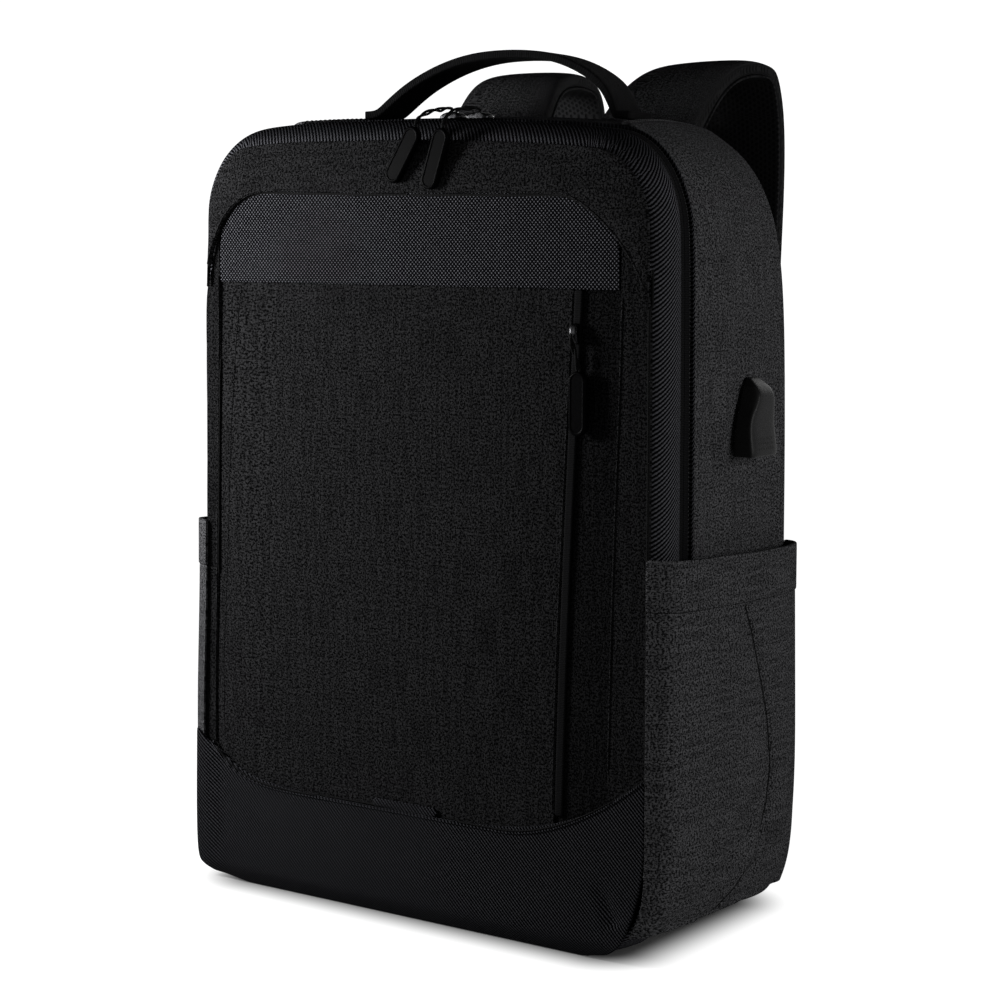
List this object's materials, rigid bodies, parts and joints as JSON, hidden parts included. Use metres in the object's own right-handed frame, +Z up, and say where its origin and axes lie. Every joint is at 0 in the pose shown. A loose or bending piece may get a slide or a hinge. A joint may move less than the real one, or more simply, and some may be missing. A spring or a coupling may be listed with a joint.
{
  "type": "laptop backpack",
  "caption": "Rectangular laptop backpack with wrap-round zip, flat front pocket, open side pockets, carry handle, padded shoulder straps and a side charging port.",
  "frame": {"origin": "middle of the flat base, on the surface that the bag stands on", "axes": "+Z up, front face towards -Y, shoulder straps on +Y, charging port on the +X side"},
  "size_m": [0.3374, 0.2726, 0.481],
  "materials": {
    "heather": "mottled dark grey polyester weave with lighter vertical streaks",
    "nylon": "smooth blue-black nylon twill with a soft sheen",
    "webbing": "black herringbone webbing and cord",
    "air_mesh": "black spacer mesh with small open cells",
    "zip_tape": "dark woven zip tape",
    "rubber": "satin black moulded rubber",
    "plastic": "satin grey moulded plastic",
    "metal": "dark bright-plated zinc"
  },
  "bodies": {
    "root": {"back_panel": "air_mesh", "base_panel": "nylon", "boot": "nylon", "boot_tab": "nylon", "border_left": "heather", "border_right": "heather", "carry_handle": "webbing", "edge_band": "nylon", "facing": "nylon", "front_cord": "webbing", "front_pull": "rubber", "front_slider": "metal", "front_wall": "heather", "front_zip": "zip_tape", "ladder_lock_left": "plastic", "ladder_lock_right": "plastic", "main_cord_left": "webbing", "main_cord_right": "webbing", "main_pull_left": "rubber", "main_pull_right": "rubber", "main_slider_left": "metal", "main_slider_right": "metal", "pocket_hem_left": "heather", "pocket_hem_right": "heather", "pocket_panel": "heather", "side_gusset_left": "heather", "side_gusset_right": "heather", "side_pocket_left": "heather", "side_pocket_right": "heather", "strap_mesh_left": "air_mesh", "strap_mesh_right": "air_mesh", "strap_pad_left": "heather", "strap_pad_right": "heather", "strap_tab_left": "heather", "strap_tab_right": "heather", "strap_webbing_left": "webbing", "strap_webbing_right": "webbing", "top_gusset": "heather", "usb_housing": "plastic", "yoke": "heather", "zip_coil": "zip_tape", "zip_piping": "nylon", "zip_tape_front": "zip_tape", "zip_tape_rear": "zip_tape"}
  },
  "joints": []
}
